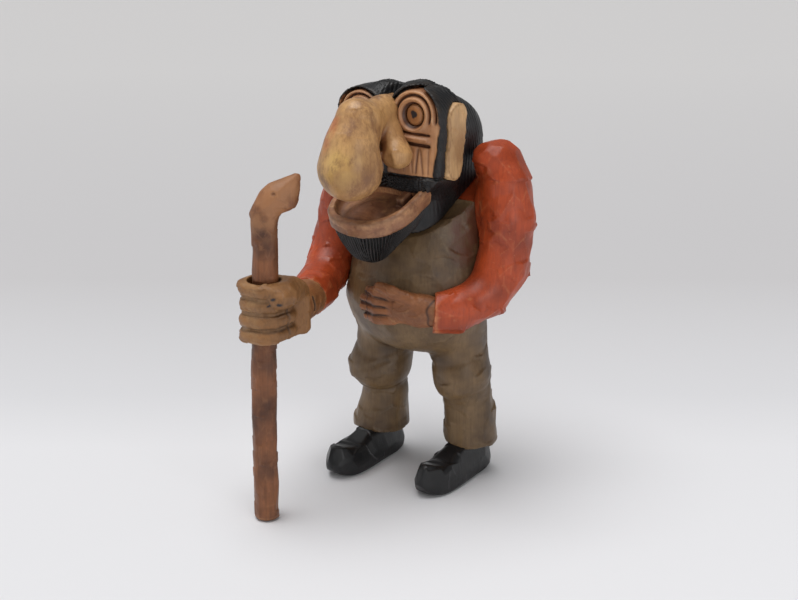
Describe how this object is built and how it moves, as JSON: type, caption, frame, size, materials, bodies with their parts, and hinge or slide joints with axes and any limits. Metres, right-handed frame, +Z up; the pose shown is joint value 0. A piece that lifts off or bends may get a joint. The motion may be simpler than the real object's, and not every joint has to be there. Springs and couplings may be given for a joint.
{
  "type": "carved wooden figurine",
  "caption": "Carved and stained wooden figurine of a stooping, long-nosed old man resting one fist on a loose walking stick.",
  "frame": {"origin": "on the floor, in the middle of the footprint box of figure and stick together", "axes": "+Z up, the figure faces -Y, +X towards the figure's own left hand"},
  "size_m": [0.2409, 0.2865, 0.421],
  "materials": {
    "khaki": "stained and rubbed",
    "orange": "stained and rubbed",
    "black": "stained and rubbed",
    "bare": "oiled, worn smooth",
    "mouth": "oiled",
    "hand": "oiled",
    "stick": "rough, oiled",
    "dowel": "turned, bare"
  },
  "bodies": {
    "figure": {"body_block": "khaki", "shirt_back": "orange", "head_block": "black", "nose_block": "bare", "jaw_block": "mouth", "beard_block": "black", "left_ear": "bare", "right_ear": "bare", "left_eye": "bare", "right_eye": "bare", "left_arm": "orange", "right_arm": "orange", "left_hand": "hand", "right_hand": "hand", "wrist_tenon": "hand", "left_clog": "black", "right_clog": "black", "neck_dowels": "dowel", "shoulder_dowels": "dowel", "ankle_dowels": "dowel", "back_dowels": "dowel", "nose_dowel": "dowel", "jaw_dowels": "dowel", "wrist_dowel": "dowel"},
    "stick": {"cane": "stick"}
  },
  "joints": [
    {"name": "stick_lift", "type": "slide", "parent": "figure", "child": "stick", "axis": [0.0139, 0.0105, 0.9998], "range_m": [0, 0.26]}
  ]
}
